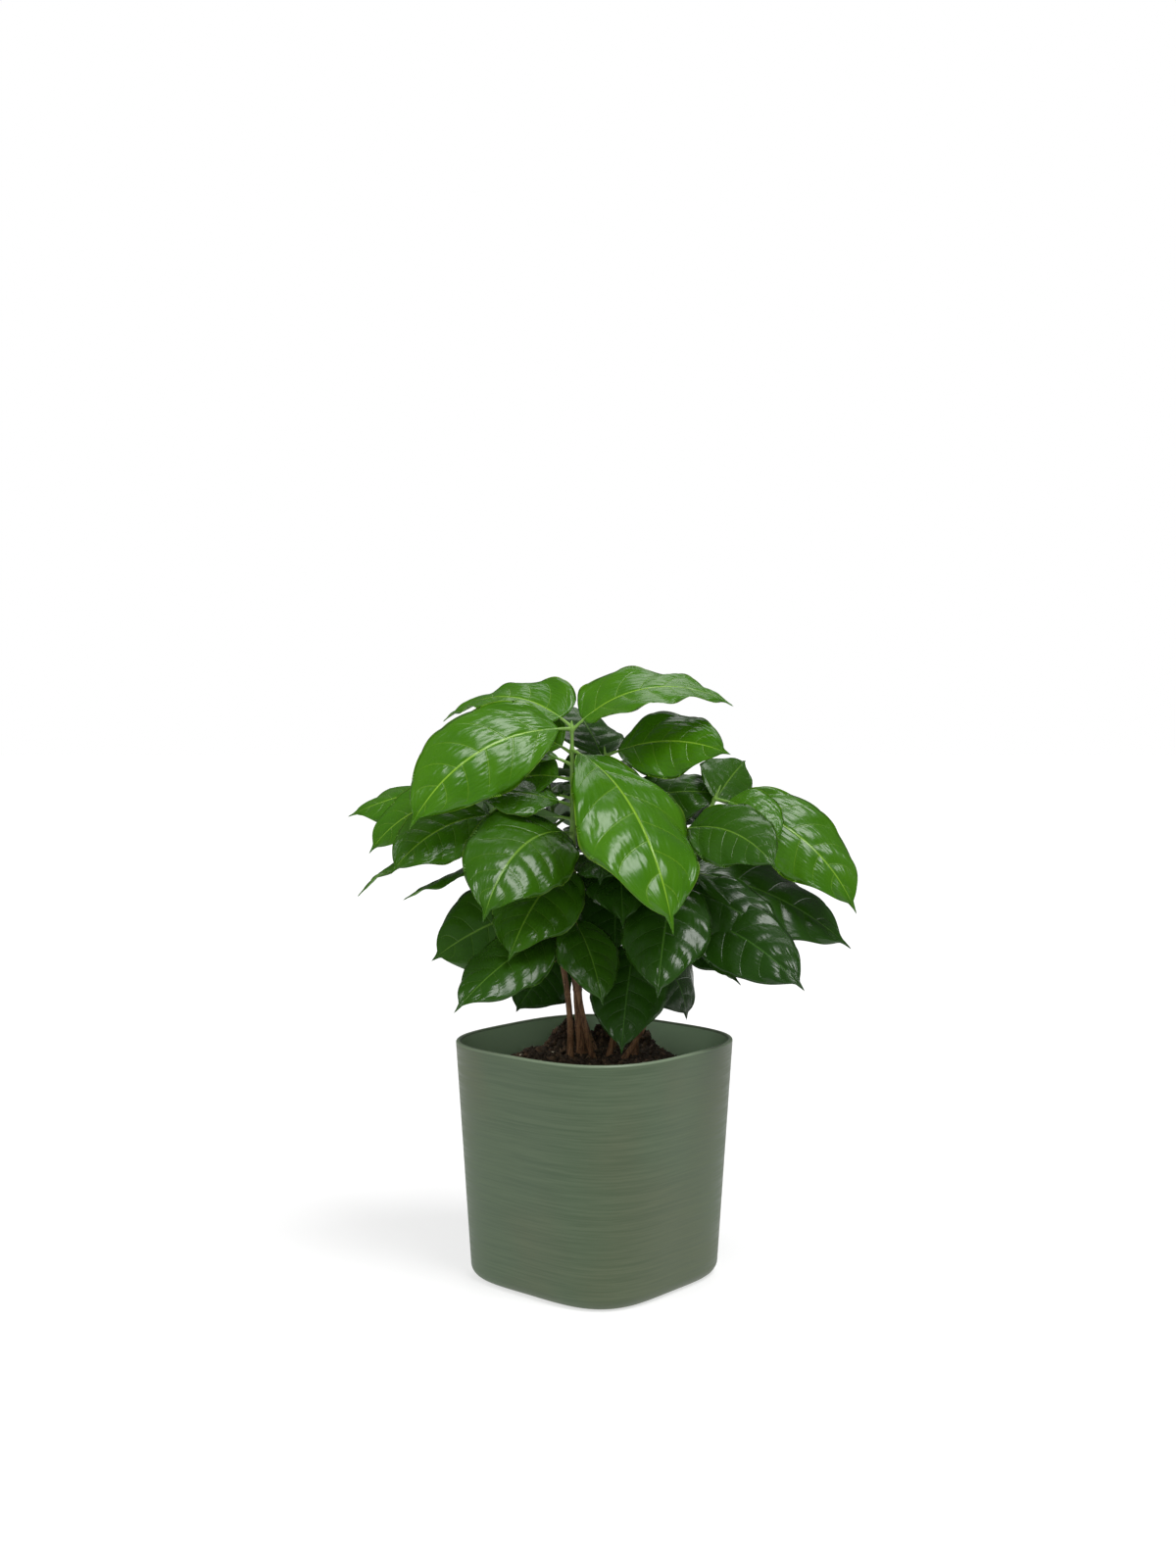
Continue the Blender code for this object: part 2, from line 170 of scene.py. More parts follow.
# %% [markdown]
# Soft studio light.  A broad window high up in front, to the right, models the leaves and gives
# them their gloss.  A wide sun from the left and a low one from the front fill the shadows without
# a gloss of their own, and a weak one from behind runs a sheen over the ribs.  A dim white surround
# does the rest.  The floor glows a little, so that it stays evenly pale up to the horizon.  The view
# transform is the plain one, which keeps the greens as strong as they are set.

# %% Lights and floor
Sun = namedtuple("Sun", "name azimuth height strength spread glossy")
SUNS = (
    Sun("window", -46, 62, 2.5, 30, True),
    Sun("left", -160, 40, 1.2, 60, False),
    Sun("back", 80, 52, 0.5, 34, True),
    Sun("front", -88, 14, 0.6, 40, False),
)
SURROUND_LIGHT = 0.14
SURROUND_SEEN = 1.0
FLOOR_REACH = 9.0


def add_sun(sun):
    """A sun that shines from an azimuth, counted from +X towards +Y, and a height over the floor."""
    light = bpy.data.lights.new(sun.name, "SUN")
    light.energy = sun.strength
    light.angle = math.radians(sun.spread)
    made = bpy.data.objects.new(sun.name, light)
    made.rotation_euler = (math.radians(90 - sun.height), 0, math.radians(sun.azimuth + 90))
    made.visible_glossy = sun.glossy
    bpy.context.scene.collection.objects.link(made)


def add_surround():
    """White behind the plant, dimmer as a light, so that the crown keeps its deep shadows."""
    world = bpy.data.worlds.new("studio")
    world.use_nodes = True
    nodes, links = world.node_tree.nodes, world.node_tree.links
    path = nodes.new("ShaderNodeLightPath")
    strength = nodes.new("ShaderNodeMapRange")
    strength.inputs["To Min"].default_value = SURROUND_LIGHT
    strength.inputs["To Max"].default_value = SURROUND_SEEN
    links.new(path.outputs["Is Camera Ray"], strength.inputs["Value"])
    links.new(strength.outputs["Result"], nodes["Background"].inputs["Strength"])
    nodes["Background"].inputs["Color"].default_value = (1.0, 1.0, 1.0, 1.0)
    bpy.context.scene.world = world


for sun in SUNS:
    add_sun(sun)
add_surround()
bpy.context.scene.view_settings.view_transform = "Standard"

paper = Finish("studio_floor")
paper.set(Base_Color=(0.40, 0.40, 0.40, 1.0), Roughness=0.9, Emission_Strength=0.62)
corners = [(x * FLOOR_REACH, y * FLOOR_REACH, 0.0) for x, y in ((-1, -1), (1, -1), (1, 1), (-1, 1))]
floor_mesh = bpy.data.meshes.new("floor")
floor_mesh.from_pydata(corners, [], [(0, 1, 2, 3)])
floor_mesh.materials.append(paper.material)
floor = bpy.data.objects.new("floor", floor_mesh)
bpy.context.scene.collection.objects.link(floor)


# %% [markdown]
# Everything on the plant is rows of points joined into rings: a leaf blade is a flat ring carried
# along its midrib, a stem is a round ring carried upwards.  Shape gathers the rows of many such
# parts, with the values that the finish needs at each point, and turns them into one piece.

# %% From arrays to pieces
def ring_faces(rows, count, start=0):
    """Quads between rows of points, where each row is a closed ring."""
    low = start + np.arange(rows - 1)[:, None] * count
    i = np.arange(count)[None]
    j = (i + 1) % count
    return np.stack([low + i, low + j, low + count + j, low + count + i], -1).reshape(-1, 4)


def fan_faces(ring, centre, outward):
    """Triangles from a ring of point numbers to one centre point."""
    after = np.roll(ring, -1)
    middle = np.full_like(ring, centre)
    order = (ring, after, middle) if outward else (after, ring, middle)
    return np.stack(order, -1)


class Shape:
    """Points, faces and point values of one piece, gathered from many parts."""

    def __init__(self):
        self.points = []
        self.faces = []
        self.values = {}
        self.count = 0

    def add_rings(self, rings, start, end, **values):
        """Rows of rings, closed by a point at each end; values are arrays over the rows' points."""
        rows, count, _ = rings.shape
        first = self.count
        self.points += [rings.reshape(-1, 3), np.array([start, end], float)]
        self.faces += ring_faces(rows, count, first).tolist()
        last = first + (rows - 1) * count
        self.faces += fan_faces(first + np.arange(count), first + rows * count, False).tolist()
        self.faces += fan_faces(last + np.arange(count), first + rows * count + 1, True).tolist()
        for name, value in values.items():
            whole = np.broadcast_to(value, (rows, count))
            ends = [whole[0].mean(), whole[-1].mean()]
            self.values.setdefault(name, []).append(np.concatenate([whole.ravel(), ends]))
        self.count += rows * count + 2

    def piece(self, name, finish, nodes):
        """Makes the object, in place, and gives it to the frame."""
        mesh = bpy.data.meshes.new(name)
        mesh.from_pydata(np.concatenate(self.points).tolist(), [], self.faces)
        for key, parts in self.values.items():
            layer = mesh.attributes.new(key, "FLOAT", "POINT")
            layer.data.foreach_set("value", np.concatenate(parts).astype(np.float32))
        mesh.shade_smooth()
        mesh.materials.append(finish.material)
        made = bpy.data.objects.new(name, mesh)
        bpy.context.scene.collection.objects.link(made)
        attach(made, "root")
        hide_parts(*nodes)
        triangles = sum(len(face) - 2 for face in self.faces)
        print(f"{name}: {triangles} triangles, {outward_volume(mesh) * 1e6:.1f} ml")
        return made


def outward_volume(mesh):
    """Volume inside a closed mesh, which is above zero where its faces point out."""
    mesh.calc_loop_triangles()
    corners = np.zeros(len(mesh.loop_triangles) * 3, np.int32)
    mesh.loop_triangles.foreach_get("vertices", corners)
    points = np.zeros(len(mesh.vertices) * 3)
    mesh.vertices.foreach_get("co", points)
    a, b, c = points.reshape(-1, 3)[corners.reshape(-1, 3)].transpose(1, 0, 2)
    return float((a * np.cross(b, c)).sum() / 6)


def smooth_step(value, low, high):
    """0 below low, 1 above high, and a smooth S between."""
    share = np.clip((value - low) / (high - low), 0, 1)
    return share * share * (3 - 2 * share)


# %% [markdown]
# The pot is a cover pot: a rounded square that widens upwards, with a thin lip that catches the
# light.  Its outline is a superellipse, |x|^n + |y|^n = half^n, which is a circle at n = 2 and
# nears a square as n grows.  One profile, from the foot over the lip and down inside, is carried
# round that outline, and the outlines of foot and rim are mixed by height.

# %% Pot
POT_HEIGHT = 135.5 * MM
RIM_HALF = 70 * MM
FOOT_HALF = 60 * MM
RIM_SQUARENESS = 3.1
FOOT_SQUARENESS = 3.7
POT_TURN = math.radians(49)
WALL = 3 * MM
INSIDE_DEPTH = 105 * MM           # where the inner wall ends, under the soil
FOOT_ROUND = 7 * MM
LIP_ROUND = 1.4 * MM
POT_SIDES = 256


def superellipse(half, squareness, angle):
    """Distance from the middle to the edge of a rounded square, at an angle from its flat."""
    spread = np.abs(np.cos(angle)) ** squareness + np.abs(np.sin(angle)) ** squareness
    return half / spread ** (1 / squareness)


def pot_rings(heights, insets, sides=POT_SIDES):
    """The pot's outline at each height, moved in by an inset: (heights, sides, 3)."""
    angle = np.linspace(0, 2 * math.pi, sides, endpoint=False)[None]
    share = np.asarray(heights)[:, None] / POT_HEIGHT
    foot = superellipse(FOOT_HALF, FOOT_SQUARENESS, angle)
    rim = superellipse(RIM_HALF, RIM_SQUARENESS, angle)
    reach = foot + (rim - foot) * share - np.asarray(insets)[:, None]
    turned = angle + POT_TURN
    level = np.broadcast_to(np.asarray(heights)[:, None], reach.shape)
    return np.stack([reach * np.cos(turned), reach * np.sin(turned), level], -1)


def pot_profile():
    """Heights and insets from the foot's edge, up the wall, over the lip and down inside."""
    turn = np.linspace(0, math.pi / 2, 9)
    foot = (FOOT_ROUND * (1 - np.cos(turn)), FOOT_ROUND * (1 - np.sin(turn)))
    rise = np.linspace(FOOT_ROUND, POT_HEIGHT - LIP_ROUND, 26)[1:-1]
    outer_lip = (POT_HEIGHT - LIP_ROUND * (1 - np.sin(turn)), LIP_ROUND * (1 - np.cos(turn)))
    inner_lip = (POT_HEIGHT - LIP_ROUND * (1 - np.cos(turn)), WALL - LIP_ROUND * (1 - np.sin(turn)))
    fall = np.linspace(POT_HEIGHT - LIP_ROUND, POT_HEIGHT - INSIDE_DEPTH, 22)[1:]
    heights = np.concatenate([foot[0], rise, outer_lip[0], inner_lip[0], fall])
    insets = np.concatenate([foot[1], 0 * rise, outer_lip[1], inner_lip[1], 0 * fall + WALL])
    return heights, insets


def sage_plastic():
    """Sage green with fine brushed lines around it, olive where they are worn, painted lighter inside as
    painted light on the inner wall, with a painted highlight along the top of the lip.
    """
    finish = Finish("brushed_sage_plastic")
    lines = finish.noise(finish.place((26, 26, 900)), 1.0, detail=3.0, roughness=0.6)
    broad = finish.noise(finish.place((4, 4, 260)), 1.0, detail=3.0, roughness=0.6)
    cloud = finish.noise(finish.place((11, 11, 9)), 1.0, detail=2.0)
    streak = finish.ramp(lines * 0.72 + broad * 0.28, 0.36, 0.64)
    green = finish.mix(streak, (0.042, 0.076, 0.032, 1), (0.071, 0.108, 0.056, 1))
    olive = finish.mix(streak, (0.048, 0.073, 0.030, 1), (0.078, 0.102, 0.052, 1))
    body = finish.mix(finish.ramp(cloud, 0.40, 0.62), green, olive)
    height = finish.node("SeparateXYZ", {}, {"Vector": finish.node("TexCoord", out=3)}, out=2)
    # painted highlight: the top of the lip is painted a paler green, a bright line standing in for light on
    # the rim's edge
    lip_painted_highlight = finish.ramp(height, POT_HEIGHT - 1.6 * MM, POT_HEIGHT - 0.5 * MM)
    # painted light: the inner wall is painted far paler than the plastic, standing in for light falling
    # inside the pot
    shell_with_painted_light = finish.mix(finish.attribute("inside"), body, (0.400, 0.560, 0.370, 1))
    finish.set(Base_Color=finish.mix(lip_painted_highlight, shell_with_painted_light, (0.16, 0.21, 0.135, 1)),
               Roughness=finish.ramp(streak, 0.0, 1.0, 0.40, 0.56))
    finish.bump(lines, distance=0.12 * MM, strength=0.55)
    return finish


def make_pot():
    """The profile carried round the outline, with the points of the inner wall marked for the finish's
    painted light.
    """
    heights, insets = pot_profile()
    shape = Shape()
    inside = (insets > WALL - 0.1 * MM) & (heights > POT_HEIGHT - INSIDE_DEPTH - 0.1 * MM)
    shape.add_rings(pot_rings(heights, insets), (0, 0, 0), (0, 0, POT_HEIGHT - INSIDE_DEPTH),
                    inside=inside[:, None].astype(float))
    return shape.piece("cover_pot", sage_plastic(), ["pot"])


make_pot()


# %% [markdown]
# Potting soil is peat and bark in crumbs of every size.  The ground itself is a polar grid raised
# by smooth noise, level where the stems stand and banked into knolls behind them.  On top lie
# a few thousand loose crumbs, each a lumpy eight-sided stone of its own size and turn, with some
# pale bits of perlite and straw.

# %% Soil surface
SOIL_LEVEL = 125 * MM
SOIL_AT_WALL = 112 * MM
SOIL_LEVEL_REACH = 36 * MM
SOIL_GAP = 0.8 * MM
Knoll = namedtuple("Knoll", "x y radius height")
KNOLLS = (Knoll(-15, 40, 17, 15), Knoll(8, 44, 15, 14), Knoll(27, 38, 15, 12))
SOIL_SIDES = 220
SOIL_RINGS = 110
SOIL_ROUGH = 1.5 * MM
SOIL_SEED = 5
SOIL_DEPTH = 2 * MM               # how far the soil's underside lies above the pot's inner floor
GROUND_TONE = 0.3


def soil_height(x, y):
    """Height of the soil over each point: a level middle, a fall to the wall, and the knolls."""
    fall = smooth_step(np.hypot(x, y), SOIL_LEVEL_REACH, RIM_HALF)
    height = SOIL_LEVEL + (SOIL_AT_WALL - SOIL_LEVEL) * fall
    for knoll in KNOLLS:
        near = np.hypot(x - knoll.x * MM, y - knoll.y * MM) / (knoll.radius * MM)
        height = height + knoll.height * MM * np.clip(1 - near * near, 0, None) ** 2
    return height


def lumps(x, y, rng, count=60, finest=1.6 * MM, coarsest=16 * MM):
    """Smooth noise near the range -1 to 1: waves in random directions and lengths, summed."""
    total = np.zeros_like(x)
    for _ in range(count):
        length = finest * (coarsest / finest) ** rng.random()
        heading = rng.uniform(0, math.pi)
        along = (x * math.cos(heading) + y * math.sin(heading)) / length
        total += np.sin(2 * math.pi * along + rng.uniform(0, 2 * math.pi)) * (length / coarsest) ** 0.3
    return total / math.sqrt(count)


def make_soil(finish):
    """The pot's inner outline, shrunk in even steps to the middle, at the soil's height plus noise."""
    rng = np.random.default_rng(SOIL_SEED)
    edge = pot_rings([SOIL_AT_WALL], [WALL + SOIL_GAP], SOIL_SIDES)[0]
    share = np.linspace(1, 1 / SOIL_RINGS, SOIL_RINGS)[:, None]
    x, y = edge[None, :, 0] * share, edge[None, :, 1] * share
    z = soil_height(x, y) + SOIL_ROUGH * lumps(x, y, rng)
    under = pot_rings([POT_HEIGHT - INSIDE_DEPTH + SOIL_DEPTH], [WALL + SOIL_GAP], SOIL_SIDES)
    rings = np.concatenate([under, np.stack([x, y, z], -1)])
    shape = Shape()
    shape.add_rings(rings, under[0].mean(0), (0, 0, float(z[-1].mean())), tone=GROUND_TONE)
    return shape.piece("potting_soil", finish, ["soil"])


def soil_finish():
    """Damp peat: dark brown, each crumb in its own tone, with hardly any shine."""
    finish = Finish("peat_and_bark")
    grain = finish.noise(finish.place(), 900.0, detail=5.0, roughness=0.7)
    tone = finish.attribute("tone")
    dark = finish.mix(grain, (0.018, 0.012, 0.008, 1), (0.060, 0.038, 0.025, 1))
    warm = finish.mix(grain, (0.050, 0.028, 0.016, 1), (0.160, 0.100, 0.060, 1))
    pale = finish.mix(grain, (0.36, 0.29, 0.19, 1), (0.72, 0.66, 0.52, 1))
    earth = finish.mix(finish.ramp(tone, 0.35, 0.8), dark, warm)
    finish.set(Base_Color=finish.mix(finish.ramp(tone, 0.90, 0.95), earth, pale), Roughness=0.9)
    finish.bump(grain, distance=0.5 * MM, strength=0.8)
    return finish


peat = soil_finish()
make_soil(peat)


# %% [markdown]
# Loose crumbs are one small stone, eight triangles, repeated.  Each copy is stretched, turned and
# dented at random and sunk a third of its height into the ground, so the soil has real edges and
# shadows rather than a painted grain.

# %% Loose crumbs
CRUMBS = 5200
CRUMB_SEED = 11
CRUMB_EDGE = 4 * MM               # how far the crumbs stay from the wall
CRUMB_FINENESS = 1.7              # over 1 makes small crumbs the more common
CRUMB_SINK = 0.25                 # how much of its size a crumb's middle stands above the ground
DARKEST_TO_WARM = 0.85            # the tones of the brown crumbs run from 0 to this
CRUMB_SIZES = (0.7 * MM, 2.9 * MM)
PALE_CRUMBS = 70
STONE = np.array([(1, 0, 0), (0, 1, 0), (-1, 0, 0), (0, -1, 0), (0, 0, 1), (0, 0, -1)], float)
STONE_FACES = np.array([(0, 1, 4), (1, 2, 4), (2, 3, 4), (3, 0, 4),
                        (1, 0, 5), (2, 1, 5), (3, 2, 5), (0, 3, 5)])


def random_turns(rng, count):
    """Rotation matrices with no favoured direction, from random unit quaternions."""
    drawn = rng.normal(size=(4, count))
    w, x, y, z = drawn / np.linalg.norm(drawn, axis=0)
    return np.array([[1 - 2 * (y * y + z * z), 2 * (x * y - w * z), 2 * (x * z + w * y)],
                     [2 * (x * y + w * z), 1 - 2 * (x * x + z * z), 2 * (y * z - w * x)],
                     [2 * (x * z - w * y), 2 * (y * z + w * x), 1 - 2 * (x * x + y * y)]]).transpose(2, 0, 1)


def make_crumbs(finish):
    """Stones scattered evenly over the soil: the distance from the middle is the root of a draw."""
    rng = np.random.default_rng(CRUMB_SEED)
    angle = rng.uniform(0, 2 * math.pi, CRUMBS)
    reach = superellipse(RIM_HALF - WALL, RIM_SQUARENESS, angle - POT_TURN)
    reach = (reach - CRUMB_EDGE) * np.sqrt(rng.random(CRUMBS))
    x, y = reach * np.cos(angle), reach * np.sin(angle)
    size = CRUMB_SIZES[0] * (CRUMB_SIZES[1] / CRUMB_SIZES[0]) ** (rng.random(CRUMBS) ** CRUMB_FINENESS)
    stretch = size[:, None] * rng.uniform(0.55, 1.25, (CRUMBS, 3))
    dents = rng.uniform(0.7, 1.15, (CRUMBS, len(STONE), 1))
    points = (STONE[None] * dents) * stretch[:, None]
    points = np.einsum("nij,nkj->nki", random_turns(rng, CRUMBS), points)
    middle = np.stack([x, y, soil_height(x, y) + size * CRUMB_SINK], -1)
    points = points + middle[:, None]
    tone = rng.random(CRUMBS) * DARKEST_TO_WARM
    tone[:PALE_CRUMBS] = 1.0
    faces = (STONE_FACES[None] + np.arange(CRUMBS)[:, None, None] * len(STONE)).reshape(-1, 3)
    shape = Shape()
    shape.points = [points.reshape(-1, 3)]
    shape.faces = faces.tolist()
    shape.values = {"tone": [np.repeat(tone, len(STONE))]}
    return shape.piece("soil_crumbs", finish, ["soil"])


make_crumbs(peat)


# %% [markdown]
# The plant is eight coffee seedlings.  Each line below is one of them: where its stem leaves the
# soil, where the woody stem ends, where its green shoot ends, how thick it is, and its leaves.  A
# leaf is its height on the shoot, its heading, how it rises and arches, its length and width, and
# how it is rolled.  A drooping coffee leaf arches by 40 to 80 degrees from its stalk to its tip.
# Fill says how many more leaves a rule may add where none is listed.

# %% Seedlings
Leaf = namedtuple("Leaf", "z az rise arch long wide roll twist cup belly", defaults=(0, 0, -0.25, 0.46))
Fill = namedtuple("Fill", "count az_from az_to z_from z_to")
Seedling = namedtuple("Seedling", "name foot tip top thick leaves fill")

SEEDLINGS = (
    Seedling("centre", (-7, 0), (-12, 2, 222), (-13, 0, 313), (5.6, 3.6), (
        Leaf(313, 148, 34, 72, 89, 46, -30, belly=0.24, twist=12, cup=0.0),
        Leaf(312, -152, 0, 62, 111, 54, -55),
        Leaf(311, 0, 43, 76, 92, 54, 29, belly=0.32, twist=-10, cup=0.0),
        Leaf(300, -59, -13, 62, 139, 71, 0, belly=0.57),
        Leaf(298, 140, 25, 50, 50, 40, -50),
        Leaf(283, 160, 10, 45, 40, 38, -45),
        Leaf(268, -162, 20, 35, 54, 38, -30),
        Leaf(252, -123, 10, 78, 96, 61, -30, belly=0.46),
        Leaf(236, -121, -18, 40, 76, 52, -12),
    ), Fill(7, 0, 200, 228, 300)),
    Seedling("left", (-14, -7), (-38, 3, 234), (-62, 8, 283), (3.5, 2.8), (
        Leaf(281, 174, -4, 22, 76, 38, -30, belly=0.6),
        Leaf(273, -168, 3, 60, 74, 36, -50),
        Leaf(263, -144, 0, 50, 74, 42, -40),
        Leaf(268, 140, -30, 20, 40, 38, -45),
        Leaf(256, 180, -4, 46, 90, 32, 2),
        Leaf(242, -172, -14, 18, 64, 28),
    ), Fill(4, 80, 165, 240, 280)),
    Seedling("right", (23, 0), (50, 2, 232), (70, 3, 276), (3.7, 2.8), (
        Leaf(272, -18, -12, 56, 99, 48, 50),
        Leaf(266, 60, 34, 12, 46, 38, 45),
        Leaf(272, -32, -8, 50, 40, 32, 45),
    ), Fill(4, 30, 120, 238, 270)),
    Seedling("right_low", (16, -12), (45, -12, 205), (46, -17, 262), (3.5, 2.8), (
        Leaf(255, -44, 13, 60, 68, 43, 42),
        Leaf(228, -101, -22, 42, 80, 50),
        Leaf(224, -26, -12, 36, 66, 40, 42),
        Leaf(209, -40, -6, 36, 87, 46, 42),
        Leaf(233, 4, -8, 36, 103, 52, 46),
    ), Fill(2, 20, 80, 210, 230)),
    Seedling("front_left", (-1, -8), (-12, -14, 186), (-15, -18, 216), (3.3, 2.6), (
        Leaf(203, -138, -15, 25, 84, 44, -22),
        Leaf(215, 178, -10, 30, 76, 56, -60, belly=0.56),
        Leaf(210, -68, -25, 40, 60, 36),
    ), Fill(0, 0, 0, 0, 0)),
    Seedling("front", (8, -4), (20, -8, 180), (25, -10, 202), (3.2, 2.6), (
        Leaf(198, -101, -34, 34, 72, 44),
    ), Fill(1, -30, 30, 188, 200)),
    Seedling("back_left", (0, 16), (-14, 33, 176), (-28, 40, 290), (3.4, 2.8), (
        Leaf(182, -150, -36, 20, 41, 44, -30, belly=0.4),
        Leaf(286, 178, 20, 50, 62, 44, -45),
        Leaf(284, 14, 8, 50, 60, 46, 45),
        Leaf(222, 20, -5, 45, 62, 46, 35),
    ), Fill(15, 20, 340, 196, 284)),
    Seedling("back_right", (9, 10), (18, 30, 182), (6, 18, 298), (3.4, 2.8), (
        Leaf(296, -28, 20, 42, 72, 48, 50),
        Leaf(288, 124, 56, 30, 46, 50, 0),
        Leaf(194, 2, -30, 58, 60, 56, 38, belly=0.58),
        Leaf(262, -5, 28, 45, 62, 40, 45),
        Leaf(232, -92, -22, 44, 62, 44),
    ), Fill(15, -100, 220, 196, 288)),
)

# %% [markdown]
# A stem bows outwards as it rises: its slope goes evenly from that of its foot to that of its
# shoot, which is then straight.

# %% Stem line
STEM_GAP = 0.3 * MM
FLARE_HEIGHT = 7 * MM
FLARE_SHARE = 0.45
SHOOT_TAPER = 0.45
BUD = 4 * MM


def stem_line(seedling, height):
    """The stem's middle at each height, in metres: a parabola to the tip, then a straight line."""
    height = np.asarray(height, float)[..., None]
    foot = np.array([seedling.foot[0] * MM, seedling.foot[1] * MM, SOIL_LEVEL])
    tip, top = np.array(seedling.tip) * MM, np.array(seedling.top) * MM
    share = (height - foot[2]) / (tip[2] - foot[2])
    lean = (top - tip) * ((tip[2] - foot[2]) / (top[2] - tip[2]))
    start = 2 * (tip - foot) - lean
    bowed = foot + start * (share - share * share / 2) + lean * (share * share / 2)
    straight = tip + (top - tip) * ((height - tip[2]) / (top[2] - tip[2]))
    line = np.where(height > tip[2], straight, bowed)
    line[..., 2] = height[..., 0]
    return line


def stem_radius(seedling, height):
    """Half the stem's thickness: an even taper, with the root flare at the soil."""
    foot_thick, tip_thick = seedling.thick[0] * MM, seedling.thick[1] * MM
    share = (height - SOIL_LEVEL) / (seedling.tip[2] * MM - SOIL_LEVEL)
    flare = 1 + FLARE_SHARE * np.exp(-(height - SOIL_LEVEL) / (FLARE_HEIGHT / 2))
    return (foot_thick + (tip_thick - foot_thick) * share) / 2 * flare


def level_rings(middles, radii, sides):
    """Level circles round each middle: radii may be one for each ring or one for each point."""
    angle = np.linspace(0, 2 * math.pi, sides, endpoint=False)
    radii = np.broadcast_to(np.asarray(radii).reshape(len(middles), -1), (len(middles), sides))
    around = np.stack([np.cos(angle), np.sin(angle), 0 * angle], -1)
    return middles[:, None] + radii[..., None] * around


# %% [markdown]
# Young coffee bark is thin and reddish brown.  It splits into fine upright cracks, and a raised
# ring crosses it where each old pair of leaves stood.  Both are real relief here: the radius is
# pushed in and out over a fine grid round the stem.

# %% Bark on the stems
BARK_SIDES = 28
BARK_ROW = 0.8 * MM
CRACK_DEPTH = 0.055
OLD_NODE_STEP = 21 * MM
OLD_NODE_RISE = 0.16
OLD_NODE_REACH = 1.0 * MM
CRACKS_ROUND = (3, 5, 7, 9)       # how many cracks each wave puts round the stem
BARK_SEED = 100
STEM_SUNK = 2 * MM                # how far the bark runs down into the soil


def bark_relief(rng, heights, sides):
    """Radius factors: upright cracks as waves that drift round the stem, and rings at old nodes."""
    angle = np.linspace(0, 2 * math.pi, sides, endpoint=False)[None]
    z = heights[:, None]
    relief = np.ones((len(heights), sides))
    for turns in CRACKS_ROUND:
        drift = rng.uniform(-60, 60) * z + 0.5 * np.sin(z * rng.uniform(200, 420))
        relief += CRACK_DEPTH / 2 * np.sin(turns * angle + drift + rng.uniform(0, 6))
    start = SOIL_LEVEL + OLD_NODE_STEP * rng.uniform(0.5, 1.0)
    for node in np.arange(start, heights[-1], OLD_NODE_STEP):
        relief += OLD_NODE_RISE * np.exp(-((z - node) / OLD_NODE_REACH) ** 2)
    return relief


def bark_finish():
    """Reddish brown, greyer in upright streaks, turning green-brown towards the shoot."""
    finish = Finish("young_coffee_bark")
    streak = finish.noise(finish.place((900, 900, 90)), 1.0, detail=4.0, roughness=0.6)
    fleck = finish.noise(finish.place(), 1400.0, detail=2.0)
    wood = finish.mix(finish.ramp(streak, 0.35, 0.65), (0.070, 0.030, 0.013, 1), (0.240, 0.125, 0.060, 1))
    worn = finish.mix(finish.ramp(fleck, 0.60, 0.75), wood, (0.30, 0.20, 0.11, 1))
    finish.set(Base_Color=worn, Roughness=0.72)
    finish.bump(streak, distance=0.25 * MM, strength=0.7)
    return finish


bark = bark_finish()


def make_stem(seedling, number):
    """Level circles along the stem's line, each radius times the bark's relief."""
    rng = np.random.default_rng(BARK_SEED + number)
    low, high = SOIL_LEVEL - STEM_SUNK, seedling.tip[2] * MM - STEM_GAP
    heights = np.arange(low, high, BARK_ROW)
    radii = stem_radius(seedling, np.maximum(heights, SOIL_LEVEL))[:, None]
    radii = radii * bark_relief(rng, heights, BARK_SIDES)
    rings = level_rings(stem_line(seedling, heights), radii, BARK_SIDES)
    shape = Shape()
    shape.add_rings(rings, rings[0].mean(0), rings[-1].mean(0))
    return shape.piece("bark_" + seedling.name, bark, ["stem_" + seedling.name])


for number, seedling in enumerate(SEEDLINGS):
    make_stem(seedling, number)


# %% [markdown]
# A coffee blade is longest-oval with a drawn-out drip tip.  Its half width along the midrib is a
# sine bent so that its peak falls at the belly, raised to a power under one to fill it out.  The
# midrib is a curve whose pitch falls evenly from base to tip.  Points across the blade follow its
# sideways direction, which roll and twist turn about the midrib, and the halves cup upwards at
# the base and roof downwards past the middle.

# %% Blade outline and midrib
LEAF_THICK = 0.0135
LEAF_THICK_MIN = 1.3 * MM
PETIOLE = 9 * MM
PETIOLE_RADIUS = 1.0 * MM
PATH_STEPS = 48
BLADE_BODY = 0.93
BLADE_FULLNESS = 0.72
BASE_CUP = 0.3
CUP_FULL = 0.5
DRIP_START = 0.86
DRIP_WIDTH = 0.13


def blade_share(s, belly):
    """Half width at s along the blade, as a share of its greatest, which is at the belly."""
    along = np.clip(s / BLADE_BODY, 0, 1)
    bent = math.log(0.5) / math.log(belly)
    body = np.clip(np.sin(math.pi * along ** bent), 0, None) ** BLADE_FULLNESS
    drip = DRIP_WIDTH * (1 - s) / (1 - DRIP_START) * (s > DRIP_START)
    return np.maximum(body, drip)


def cup_at(s, cup):
    """How far the halves bend up from the midrib: a trough at the base, the leaf's own cup later."""
    return BASE_CUP + (cup - BASE_CUP) * np.minimum(s / CUP_FULL, 1.0)


